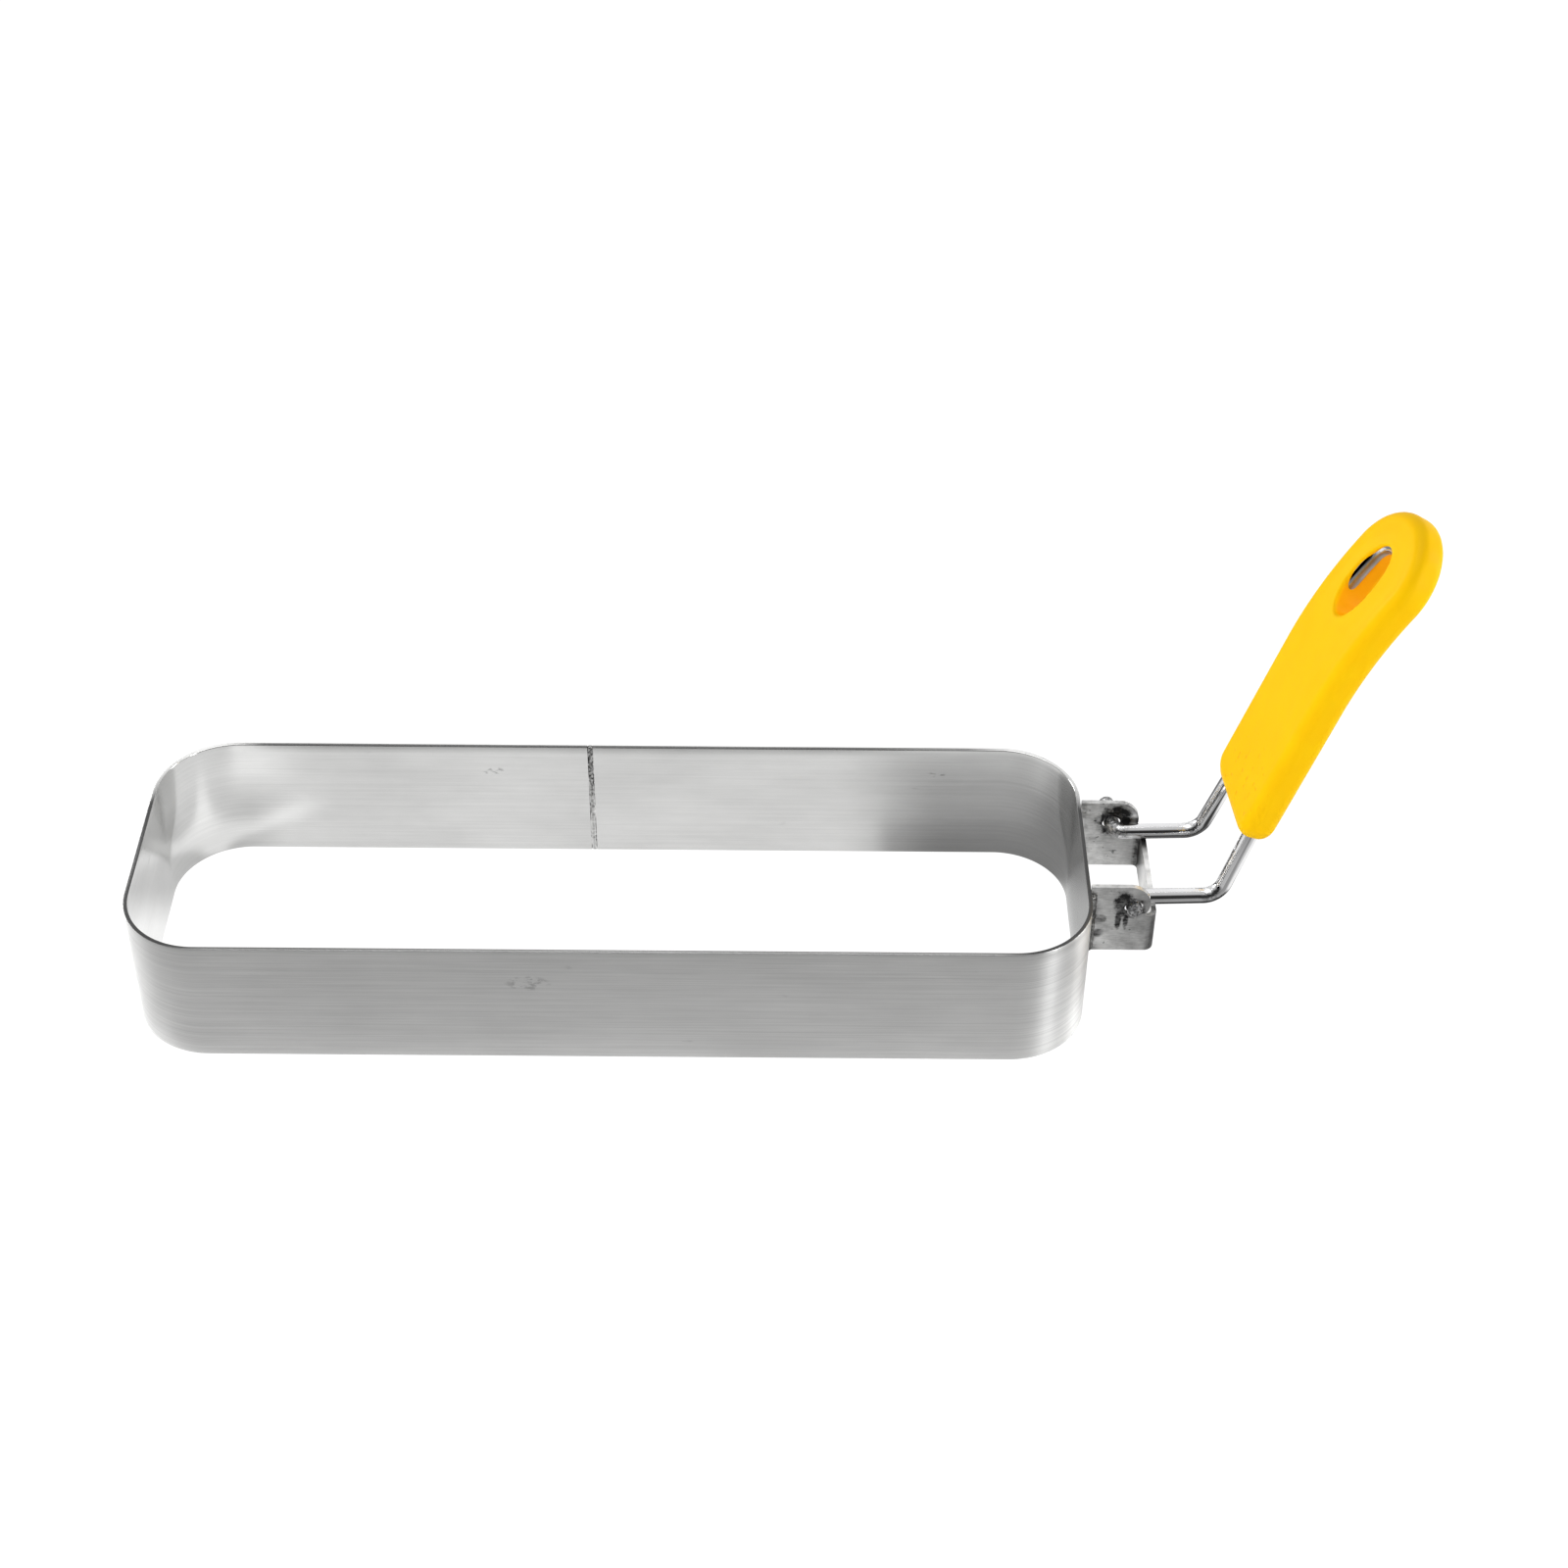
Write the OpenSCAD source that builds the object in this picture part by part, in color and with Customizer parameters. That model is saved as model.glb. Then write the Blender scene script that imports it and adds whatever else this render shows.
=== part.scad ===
// Egg ring: a rounded rectangular steel band that keeps an egg in shape on a hot plate.
// A wire handle with a moulded grip folds over the ring on a bracket at one end.
// Millimetres, +Z up, +X from the ring towards the handle.
// Origin: middle of the lower edge of the end wall that carries the bracket.

/* [Ring] */
// Outside length of the ring
ring_len = 228.6; // [180:0.2:280]
// Outside width of the ring
ring_wid = 76.2; // [70:0.2:110]
// Height of the band
ring_h = 34; // [30:0.5:40]
// Outside radius of the upright corners
corner_r = 19; // [8:0.5:22]
// Thickness of the steel strip
wall = 1; // [0.8:0.1:1.6]
// Place of the butt seam, from the middle of the far long wall towards the handle
seam_shift = -7.6; // [-40:0.2:40]
// Width of the bead that closes the seam
seam_w = 1.4; // [1:0.1:2.4]
// Rise of the bead over both faces of the strip
seam_rise = 0.25; // [0.1:0.05:0.5]

/* [Hinge bracket] */
// Clear distance between the two ears
ear_gap = 29.8; // [29.6:0.2:31]
// Thickness of the bracket's strap
strap = 1.2; // [1:0.1:1.6]
// Height of the ears' upper edge over the ring's rim
ear_rise = 1.6; // [0:0.1:3]
// Height of the ears from lower to upper edge
ear_h = 20; // [19:0.2:22]
// Distance from the ring's end face to the outer face of the web
bracket_out = 16.2; // [16:0.2:19]
// Outside radius of the two bends between ears and web
strap_bend_r = 2.4; // [2:0.1:2.6]
// Distance from the ring's end face to the middle of the pivot line
pivot_out = 9.1; // [8:0.1:9.6]
// Distance from the ears' upper edge down to the pivot line
pivot_down = 6.5; // [6.2:0.1:6.8]
// Play of the wire in the pivot holes, over its diameter
hole_play = 0.8; // [0.7:0.1:1.6]
// Radius of the ears' upper corner
ear_corner_r = 5.2; // [5:0.1:5.4]
// Leg of the bead between each ear and the end wall
bracket_weld = 1.6; // [1:0.1:2.2]

/* [Handle wire] */
// Diameter of the wire
wire_d = 3.8; // [3.4:0.1:4]
// Distance between the centre lines of the two legs at the bracket
leg_gap = 24; // [23:0.2:24.2]
// Length of the legs from the pivot to the corner
leg_len = 21.1; // [19:0.1:26]
// Slope of the legs below level when the handle rests
leg_drop = 2.5; // [0:0.5:4]
// Angle between the legs and the grip
rise = 73.8; // [65:0.1:85]
// Centre-line radius of the corners between legs and grip
corner_bend_r = 5; // [4:0.5:7]
// Centre-line radius of the elbows at the ears
elbow_r = 2.8; // [2.6:0.1:3]
// Length of the front wire end outside its ear
front_end = 1.2; // [0.8:0.1:4]
// Length of the rear wire end outside its ear
rear_end = 7.4; // [0.8:0.1:8]
// Turn of the pivot line and the handle, seen from above, out of square with the ring
handle_skew = 5; // [-5:0.5:5]
// Angle at which each leg leans in towards the eye
leg_lean = 3.2; // [2.9:0.1:3.4]
// Distance of the eye's plane in front of the grip's middle plane
eye_off = 1.8; // [1:0.1:2]
// Centre-line radius of the wire's own backward bend under the eye
wire_bend_r = 60; // [45:1:80]

/* [Grip] */
// Width of the grip
grip_w = 29.6; // [28:0.2:34]
// Thickness of the grip
grip_t = 8.5; // [8.5:0.1:10]
// Radius of the grip's long edges
grip_edge_r = 3; // [2:0.1:3.6]
// Distance from the wire's corner to the lower end of the grip
grip_start = 17.8; // [17:0.1:26]
// Distance from the wire's corner to the start of the backward curve
curve_start = 59.4; // [50:0.2:62]
// Length of the backward curve along the grip
curve_len = 29.7; // [27:0.1:32]
// Centre-line radius of the backward curve
curve_r = 122; // [105:1:150]
// Corner radius at the lower end of the grip
grip_end_r = 6; // [4:0.5:9]
// Radius that rounds the front face down to the lower end
end_round = 4.2; // [2:0.2:5]
// Length of the hang hole along the grip
hang_len = 17.4; // [14:0.2:19]
// Distance by which the wire's eye stands out of the hole's upper and rear wall
wire_bare = 1.2; // [0.6:0.1:1.3]
// Thickness of the grip over the front side of the wire's eye
hang_cover = 1; // [0.6:0.1:1.6]
// Width of the bevel round both mouths of the hang hole
hang_bevel = 0.7; // [0.5:0.1:1.2]

/* [Hidden] */
$fn = 64;
// Room left between parts that move against each other
rest_gap = 0.3;
// Room round the wire inside the grip
fit_gap = 0.05;
// Swell of a bend over the straight lengths that run into it, so that they merge
swell = 0.03;
// Length over which a straight length runs into the bend at its end
lap = 0.25;
// Straight length between a backward bend and the round end above it
neck = 0.8;
// Overlap that makes a cutting shape run past the faces it cuts
past = 1;
steel = [0.74, 0.74, 0.73];
bright = [0.82, 0.82, 0.83];
weld_grey = [0.55, 0.54, 0.53];
yellow = [0.98, 0.78, 0.05];

end_face = wall / 2;
ring_mid_x = end_face - ring_len / 2;
wire_r = wire_d / 2;

ear_top = ring_h + ear_rise;
ear_low = ear_top - ear_h;
ear_outer = ear_gap / 2 + strap;
web_outer = end_face + bracket_out;
ear_corner_z = ear_top - ear_corner_r;

pivot_x = end_face + pivot_out;
pivot_z = ear_top - pivot_down;
hole_d = wire_d + hole_play;
leg_y = leg_gap / 2;

// The web stops the legs: its upper edge lies just under the leg that reaches it lowest
web_reach = web_outer - pivot_x + leg_y * tan(abs(handle_skew));
web_top = pivot_z - web_reach * tan(leg_drop) - wire_r / cos(leg_drop) - rest_gap;

// The ears step down to the web where the strap's bends begin
step_x = web_outer - strap_bend_r;

// Corner between leg and grip: the bend also leans the wire inwards
corner_turn = acos(cos(rise) * cos(leg_lean));
corner_roll = atan2(sin(leg_lean), sin(rise) * cos(leg_lean));
corner_tangent = corner_bend_r * tan(corner_turn / 2);

// Backward curve of the grip, and where its head begins
curve_turn = curve_len / curve_r * 180 / PI;
curve_reach = curve_r * sin(curve_turn);
curve_fall = curve_r * (1 - cos(curve_turn));

// The wire turns as far as the grip, but later, so that its eye lies nearer the front face
bend_start = curve_start + (curve_r - wire_bend_r) * tan(curve_turn / 2) + eye_off / sin(curve_turn);
bend_reach = wire_bend_r * sin(curve_turn);
bend_fall = wire_bend_r * (1 - cos(curve_turn));
lean_len = bend_start / cos(leg_lean);
neck_end = lean_len + bend_reach + neck * cos(curve_turn);
eye_fall = bend_fall + neck * sin(curve_turn);
eye_half = leg_y - neck_end * sin(leg_lean);
eye_along = norm([cos(curve_turn) * cos(leg_lean), sin(curve_turn)]);
eye_tilt = atan2(sin(curve_turn), cos(curve_turn) * cos(leg_lean));
eye_lean = atan2(cos(curve_turn) * sin(leg_lean), eye_along);
eye_r = eye_half / cos(eye_lean);
eye_x = neck_end * cos(leg_lean);

// Hang hole, moved up and to the rear, where it lays the wire's eye bare
hang_r = eye_r - wire_r + (wire_bare - hang_cover) / 2;
hang_in = (wire_bare + hang_cover) / 2;
hang_run = hang_len - 2 * hang_r;

// Rectangle with round corners, centred
module round_rect(len, wid, r) {
  square([len - 2 * r, wid], center = true);
  square([len, wid - 2 * r], center = true);
  for (x = [-1, 1])
    for (y = [-1, 1])
      translate([x * (len / 2 - r), y * (wid / 2 - r)])
        circle(r = r);
}

// Bar along +X with the given outline across it: outline X to Y, outline Y to Z
module bar(len) {
  rotate([90, 0, 90])
    linear_extrude(height = len)
      children();
}

// Straight length along +X that runs into the bends at both of its ends
module lapped_bar(len) {
  translate([-lap, 0, 0])
    bar(len + 2 * lap)
      children();
}

// Bend that leaves the origin along +X and turns towards +Z
module bend(turn, r) {
  translate([0, 0, r])
    rotate([90, 90, 0])
      rotate_extrude(angle = turn)
        translate([r, 0])
          rotate(90)
            children();
}

// Plan of the ring's outside face, moved inwards by the given amount
module ring_plan(inset) {
  translate([ring_mid_x, 0])
    round_rect(ring_len - 2 * inset, ring_wid - 2 * inset, corner_r - inset);
}

// Plan of the seam between the two ends of the strip
module seam_plan() {
  translate([ring_mid_x + seam_shift, (ring_wid - wall) / 2])
    square([seam_w, wall + 2 * past], center = true);
}

module ring_band() {
  color(steel)
    linear_extrude(height = ring_h)
      difference() {
        ring_plan(0);
        ring_plan(wall);
        seam_plan();
      }
}

module seam_weld() {
  bead_r = (seam_w * seam_w / 4 + seam_rise * seam_rise) / (2 * seam_rise);
  bead_off = bead_r - seam_rise - wall / 2;
  color(weld_grey)
    linear_extrude(height = ring_h)
      intersection() {
        seam_plan();
        translate([ring_mid_x + seam_shift, (ring_wid - wall) / 2 - bead_off])
          circle(r = bead_r);
        translate([ring_mid_x + seam_shift, (ring_wid - wall) / 2 + bead_off])
          circle(r = bead_r);
      }
}

// Plan of the strap's U: a block open to the ring with two round outer corners
module strap_plan(half, reach, r) {
  translate([end_face, -half])
    square([reach - r, 2 * half]);
  translate([end_face, -half + r])
    square([reach, 2 * (half - r)]);
  for (y = [-1, 1])
    translate([end_face + reach - r, y * (half - r)])
      circle(r = r);
}

// Side outline of the bracket without its round corner, drawn in X and Z
module ear_outline() {
  polygon([
    [end_face, ear_low],
    [end_face, ear_top],
    [pivot_x, ear_top],
    [pivot_x, ear_corner_z],
    [step_x, web_top],
    [web_outer, web_top],
    [web_outer, ear_low]
  ]);
}

// Sweeps a side outline across the whole bracket
module across_bracket() {
  translate([0, ear_outer + past, 0])
    rotate([90, 0, 0])
      linear_extrude(height = 2 * (ear_outer + past))
        children();
}

module hinge_bracket() {
  color(steel)
    difference() {
      intersection() {
        linear_extrude(height = ear_top)
          difference() {
            strap_plan(ear_outer, bracket_out, strap_bend_r);
            strap_plan(ear_gap / 2, bracket_out - strap, strap_bend_r - strap);
          }
        union() {
          across_bracket()
            ear_outline();
          across_bracket()
            translate([pivot_x, ear_corner_z])
              circle(r = ear_corner_r + swell);
        }
      }
      translate([pivot_x, 0, pivot_z])
        rotate([90, 0, handle_skew])
          cylinder(h = 2 * (ear_outer + past), d = hole_d, center = true);
    }
}

// Bead in the corner between the outer face of an ear and the end wall
module bracket_bead() {
  color(weld_grey)
    translate([end_face, ear_outer, ear_low])
      linear_extrude(height = ring_h - ear_low)
        polygon([[0, 0], [bracket_weld, 0], [0, bracket_weld]]);
}

module bracket_weld_front() {
  mirror([0, 1, 0])
    bracket_bead();
}

module bracket_weld_rear() {
  bracket_bead();
}

// Places the handle, drawn with its pivot line on Y and its legs along +X
module at_handle() {
  translate([pivot_x, 0, pivot_z])
    rotate([0, leg_drop, handle_skew])
      children();
}

// Places the upper part of the handle: +X along the grip, +Z out of its front face
module at_rise() {
  translate([leg_len, 0, 0])
    rotate([0, -rise, 0])
      children();
}

// Places the wire's eye and the hang hole above the backward bend
module at_head() {
  translate([eye_x, 0, -eye_fall])
    rotate([0, eye_tilt, 0])
      children();
}

// Upper part of the wire: two leaning legs, their backward bends and the eye
module wire_loop(r) {
  for (side = [0, 1])
    mirror([0, side, 0])
      translate([0, leg_y, 0])
        rotate([0, 0, -leg_lean]) {
          translate([corner_tangent, 0, 0])
            lapped_bar(lean_len - corner_tangent)
              circle(r = r);
          translate([lean_len, 0, 0])
            rotate([180, 0, 0])
              bend(curve_turn, wire_bend_r)
                circle(r = r + swell);
          translate([lean_len + bend_reach, 0, -bend_fall])
            rotate([0, curve_turn, 0])
              lapped_bar(neck)
                circle(r = r);
        }
  at_head()
    translate([-eye_r * sin(eye_lean), 0, 0])
      rotate([0, 0, eye_lean - 90])
        rotate_extrude(angle = 180 - 2 * eye_lean)
          translate([eye_r, 0])
            circle(r = r + swell);
}

// One leg from its outer end through the elbow to the corner, on the +Y side
module wire_leg(end_out) {
  chamfer = wire_r / 4;
  elbow_y = leg_y + elbow_r;
  pin_len = ear_outer + end_out - elbow_y;
  translate([0, elbow_y - lap, 0])
    rotate([-90, 0, 0]) {
      cylinder(h = lap + pin_len - chamfer, r = wire_r);
      translate([0, 0, lap + pin_len - chamfer])
        cylinder(h = chamfer, r1 = wire_r, r2 = wire_r - chamfer);
    }
  translate([elbow_r, elbow_y, 0])
    rotate([0, 0, 180])
      rotate_extrude(angle = 90)
        translate([elbow_r, 0])
          circle(r = wire_r + swell);
  translate([elbow_r, leg_y, 0])
    lapped_bar(leg_len - elbow_r - corner_tangent)
      circle(r = wire_r);
  translate([leg_len - corner_tangent, leg_y, 0])
    rotate([corner_roll, 0, 0])
      bend(corner_turn, corner_bend_r)
        circle(r = wire_r + swell);
}

module handle_wire() {
  color(bright)
    at_handle() {
      wire_leg(rear_end);
      mirror([0, 1, 0])
        wire_leg(front_end);
      at_rise()
        wire_loop(wire_r);
    }
}

// Outline across the grip, grown outwards by the given amount
module grip_section(grow = 0) {
  round_rect(grip_w + 2 * grow, grip_t + 2 * grow, grip_edge_r + grow);
}

// Side outline of the shank, drawn along the grip and out of its front face
module shank_side() {
  shank = curve_start + past - grip_start;
  round_z = grip_t / 2 - end_round;
  translate([grip_start + end_round, -grip_t])
    square([shank - end_round, 2 * grip_t]);
  translate([grip_start, -grip_t])
    square([shank, grip_t + round_z]);
  translate([grip_start + end_round, round_z])
    circle(r = end_round);
}

// Straight lower part of the grip, its end round in plan and rounded at the front
module grip_shank() {
  intersection() {
    translate([grip_start, 0, 0])
      bar(curve_start + lap - grip_start)
        grip_section();
    translate([curve_start, 0, -grip_t])
      linear_extrude(height = 2 * grip_t)
        round_rect(2 * (curve_start - grip_start), grip_w, grip_end_r);
    translate([0, grip_w, 0])
      rotate([90, 0, 0])
        linear_extrude(height = 2 * grip_w)
          shank_side();
  }
}

// Backward curve and half-round head of the grip
module grip_head() {
  translate([curve_start, 0, 0])
    rotate([180, 0, 0])
      bend(curve_turn, curve_r)
        grip_section(swell);
  translate([curve_start + curve_reach, 0, -curve_fall])
    rotate([0, curve_turn, 0]) {
      translate([-lap, 0, 0])
        bar(lap + neck)
          grip_section();
      translate([neck, 0, 0])
        rotate([0, 0, -90])
          rotate_extrude(angle = 180)
            intersection() {
              grip_section();
              translate([0, -grip_t])
                square([grip_w, 2 * grip_t]);
            }
    }
}

// Hang hole straight through the head, with a bevel at both mouths
module hang_hole() {
  at_head()
    translate([hang_in - eye_r * sin(eye_lean), hang_in, -eye_off]) {
      for (x = [0, -hang_run])
        translate([x, 0, -grip_t])
          cylinder(h = 2 * grip_t, r = hang_r);
      translate([-hang_run, -hang_r, -grip_t])
        cube([hang_run, 2 * hang_r, 2 * grip_t]);
      for (side = [0, 1])
        mirror([0, 0, side])
          hang_mouth();
    }
}

// Widening mouth of the hang hole at the front face
module hang_mouth() {
  mouth_h = hang_bevel + past;
  translate([0, 0, grip_t / 2 - hang_bevel]) {
    for (x = [0, -hang_run])
      translate([x, 0, 0])
        cylinder(h = mouth_h, r1 = hang_r, r2 = hang_r + mouth_h);
    translate([-hang_run, 0, 0])
      bar(hang_run)
        polygon([
          [-hang_r, 0],
          [hang_r, 0],
          [hang_r + mouth_h, mouth_h],
          [-hang_r - mouth_h, mouth_h]
        ]);
  }
}

module grip() {
  color(yellow)
    at_handle()
      at_rise()
        difference() {
          union() {
            grip_shank();
            grip_head();
          }
          hang_hole();
          wire_loop(wire_r + fit_gap);
        }
}

ring_band();
seam_weld();
hinge_bracket();
bracket_weld_front();
bracket_weld_rear();
handle_wire();
grip();
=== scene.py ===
"""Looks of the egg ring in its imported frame: brushed band, hinge bracket, bright wire handle, moulded grip.

Every new piece is a numpy surface in millimetres, brought to metres when its mesh is made.
Materials, lamps and the stage work in metres.
"""

import bpy
import numpy as np
from mathutils import Matrix


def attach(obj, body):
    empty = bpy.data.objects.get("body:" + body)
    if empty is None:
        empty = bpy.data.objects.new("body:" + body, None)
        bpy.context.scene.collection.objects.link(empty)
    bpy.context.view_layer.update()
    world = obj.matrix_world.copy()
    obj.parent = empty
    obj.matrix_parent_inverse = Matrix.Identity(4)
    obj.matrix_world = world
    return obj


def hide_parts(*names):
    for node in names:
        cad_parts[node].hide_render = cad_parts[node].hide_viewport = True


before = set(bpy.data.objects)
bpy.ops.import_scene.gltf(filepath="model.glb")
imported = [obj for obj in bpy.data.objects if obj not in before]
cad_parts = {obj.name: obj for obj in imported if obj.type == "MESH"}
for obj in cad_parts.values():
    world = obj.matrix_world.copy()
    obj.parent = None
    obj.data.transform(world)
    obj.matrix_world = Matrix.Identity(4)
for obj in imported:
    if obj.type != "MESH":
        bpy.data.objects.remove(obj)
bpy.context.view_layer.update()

MM = 0.001

# Sizes of the object as in its solids, in millimetres, and its angles in radians
RING_LEN, RING_WID, RING_H, CORNER_R, WALL = 228.6, 76.2, 34.0, 19.0, 1.0
RING_MID_X = WALL / 2 - RING_LEN / 2
SEAM_X, SEAM_W, SEAM_RISE = RING_MID_X - 7.6, 1.4, 0.25
EAR_OUTER, EAR_LOW, BRACKET_WELD = 16.1, 15.6, 1.6
PIVOT = np.array([9.6, 0.0, 29.1])
LEG_DROP, HANDLE_SKEW, RISE, LEG_LEAN = np.radians([2.5, 5.0, 73.8, 3.2])
WIRE_R, LEG_Y, LEG_LEN, CORNER_BEND_R, ELBOW_R = 1.9, 12.0, 21.1, 5.0, 2.8
FRONT_END, REAR_END = 1.2, 7.4
EYE_OFF, WIRE_BEND_R, NECK, WIRE_BARE = 1.8, 60.0, 0.8, 1.2
GRIP_W, GRIP_T, GRIP_EDGE_R, GRIP_START, GRIP_END_R, END_ROUND = 29.6, 8.5, 3.0, 17.8, 6.0, 4.2
CURVE_START, CURVE_LEN, CURVE_R, HANG_LEN, HANG_COVER = 59.4, 29.7, 122.0, 17.4, 1.0
CURVE_TURN = CURVE_LEN / CURVE_R
CURVE_COS, CURVE_SIN = np.cos(CURVE_TURN), np.sin(CURVE_TURN)

# Finish beyond the solids: worn strip edge, swell of the grip's faces, and how much lower and how far turned
# the hang hole's mouth is
STRIP_EDGE_R, FACE_CROWN = 0.22, 0.12
MOUTH_LOWER, MOUTH_TURN = 2.4, np.radians(2.0)

# Start and directions of the handle's +Y leg in grip coordinates
LEG_FOOT = np.array([0, LEG_Y, 0])
LEAN_WAY = np.array([np.cos(LEG_LEAN), -np.sin(LEG_LEAN), 0])
BACKWARDS = np.array([0, 0, -1])


# Placing

def turned_y(points, angle):
    """Points turned about Y by an angle in radians, X towards -Z."""
    c, s = np.cos(angle), np.sin(angle)
    return points @ np.array([[c, 0, s], [0, 1, 0], [-s, 0, c]]).T


def turned_z(points, angle):
    """Points turned about Z by an angle in radians, X towards Y."""
    c, s = np.cos(angle), np.sin(angle)
    return points @ np.array([[c, -s, 0], [s, c, 0], [0, 0, 1]]).T


def from_leg(points):
    """Handle points with the pivot line on Y and the legs along +X, placed on the bracket."""
    return turned_z(turned_y(points, LEG_DROP), HANDLE_SKEW) + PIVOT


def from_rise(points):
    """Grip coordinates, +X along the grip and +Z out of its front face, placed on the legs."""
    return turned_y(points, -RISE) + np.array([LEG_LEN, 0, 0])


# Lines

def line(start, end, count):
    """Points of a straight from start to end, without the end."""
    t = np.linspace(0, 1, count, endpoint=False)[:, None]
    return np.asarray(start, float) * (1 - t) + np.asarray(end, float) * t


def arc(start, ahead, towards, r, angle, count):
    """Points of a circular arc that sets off ahead and curves towards a direction, without its end."""
    a = np.linspace(0, angle, count, endpoint=False)[:, None]
    return np.asarray(start) + r * np.sin(a) * np.asarray(ahead) + r * (1 - np.cos(a)) * np.asarray(towards)


def full_circle(count):
    """Angles evenly round a circle."""
    return np.linspace(0, 2 * np.pi, count, endpoint=False)


def run_lengths(points):
    """Distance run along a line of points, from 0 at the first."""
    return np.concatenate([[0], np.cumsum(np.linalg.norm(np.diff(points, axis=0), axis=1))])


def waves(t, seed, count, low, high):
    """Uneven ripple in t, within about 1: a sum of sine waves with seeded frequencies between low and high."""
    rng = np.random.default_rng(seed)
    freq = rng.uniform(low, high, count)
    phase = rng.uniform(0, 2 * np.pi, count)
    return np.sin(np.asarray(t)[..., None] * freq + phase).sum(-1) / np.sqrt(count)


def closed_ends(t, share):
    """1 along most of t from 0 to 1, and falling to 0 like a quarter circle over a share of it at each end."""
    return np.clip(np.minimum(t, 1 - t) / share, 0, 1) ** 0.5


# Meshes

def grid_quads(rows, cols, wrap_rows, wrap_cols):
    """Quads of a grid of points numbered row by row; a wrapped direction joins its last line to its first."""
    r = np.arange(rows if wrap_rows else rows - 1)
    c = np.arange(cols if wrap_cols else cols - 1)
    r, c = np.meshgrid(r, c, indexing="ij")
    r2, c2 = (r + 1) % rows, (c + 1) % cols
    return np.stack([r * cols + c, r2 * cols + c, r2 * cols + c2, r * cols + c2], -1).reshape(-1, 4)


def make_piece(name, grid, wrap_rows=False, tags=None, sharp=180):
    """Object from a grid of points in mm, wrapped along its columns; edges over sharp degrees stay sharp.

    The sign of the enclosed volume turns the faces outwards. Rows that aren't wrapped are closed by one face at
    the first row and one at the last. tags are named values, one per point.
    """
    rows, cols = grid.shape[:2]
    points = grid.reshape(-1, 3) * MM
    quads = grid_quads(rows, cols, wrap_rows, True)
    corner = points[quads]
    first = np.einsum("ij,ij->i", corner[:, 0], np.cross(corner[:, 1], corner[:, 2]))
    second = np.einsum("ij,ij->i", corner[:, 0], np.cross(corner[:, 2], corner[:, 3]))
    inside_out = (first + second).sum() < 0
    faces = (quads[:, ::-1] if inside_out else quads).tolist()
    if not wrap_rows:
        start, end = np.arange(cols), np.arange(cols) + (rows - 1) * cols
        caps = [start, end[::-1]] if inside_out else [start[::-1], end]
        faces += [cap.tolist() for cap in caps]
    mesh = bpy.data.meshes.new(name)
    mesh.from_pydata(points.tolist(), [], faces)
    mesh.polygons.foreach_set("use_smooth", np.ones(len(faces), bool))
    mesh.set_sharp_from_angle(angle=np.radians(sharp))
    for key, values in (tags or {}).items():
        attribute = mesh.attributes.new(key, "FLOAT", "POINT")
        attribute.data.foreach_set("value", np.asarray(values, np.float32).reshape(-1))
    mesh.update()
    piece = bpy.data.objects.new(name, mesh)
    bpy.context.scene.collection.objects.link(piece)
    return piece


# Ring

def band_line():
    """Middle line of the strip seen from above: its place, outward normal and distance run.

    It starts at the seam, and straights and quarter circles follow in turn back to the seam.
    """
    r = CORNER_R - WALL / 2
    half_x, half_y = RING_LEN / 2 - CORNER_R, RING_WID / 2 - CORNER_R
    quarter_steps, end_steps, half_steps = 48, 24, 60
    places, normals = [], []

    def straight(x0, y0, x1, y1, nx, ny, count):
        places.append(line([x0, y0], [x1, y1], count))
        normals.append(np.repeat([[nx, ny]], count, 0))

    def quarter(cx, cy, start):
        a = np.radians(np.linspace(start, start - 90, quarter_steps, endpoint=False))
        ring = np.stack([np.cos(a), np.sin(a)], -1)
        places.append(np.array([cx, cy]) + r * ring)
        normals.append(ring)

    left, right = RING_MID_X - half_x, RING_MID_X + half_x
    back, end = half_y + r, half_x + r
    straight(SEAM_X + SEAM_W / 2, back, right, back, 0, 1, half_steps)
    quarter(right, half_y, 90)
    straight(RING_MID_X + end, half_y, RING_MID_X + end, -half_y, 1, 0, end_steps)
    quarter(right, -half_y, 0)
    straight(right, -back, left, -back, 0, -1, 2 * half_steps)
    quarter(left, -half_y, -90)
    straight(RING_MID_X - end, -half_y, RING_MID_X - end, half_y, -1, 0, end_steps)
    quarter(left, half_y, 180)
    straight(left, back, SEAM_X - SEAM_W / 2, back, 0, 1, half_steps)
    places.append(np.array([[SEAM_X - SEAM_W / 2, back]]))
    normals.append(np.array([[0.0, 1.0]]))
    place, normal = np.concatenate(places), np.concatenate(normals)
    return place, normal, run_lengths(place)


def band_profile():
    """Section of the strip: distance out from its middle line, height, and side from 1 outside to -1 inside.

    A tall rectangle whose four edges are rounded by quarter circles.
    """
    e = STRIP_EDGE_R
    half = WALL / 2 - e
    height_steps, edge_steps = 30, 5
    a = np.radians(np.linspace(0, 90, edge_steps))
    z = np.linspace(e, RING_H - e, height_steps)[1:-1]

    def rounded(x, y, start):
        turn = a + np.radians(start)
        return np.stack([x + e * np.cos(turn), y + e * np.sin(turn)], -1)

    section = np.concatenate([
        np.stack([np.full_like(z, WALL / 2), z], -1),
        rounded(half, RING_H - e, 0),
        rounded(-half, RING_H - e, 90),
        np.stack([np.full_like(z, -WALL / 2), z[::-1]], -1),
        rounded(-half, e, 180),
        rounded(half, e, 270),
    ])
    return section[:, 0], section[:, 1], np.clip(section[:, 0] / (WALL / 2), -1, 1)


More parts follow.
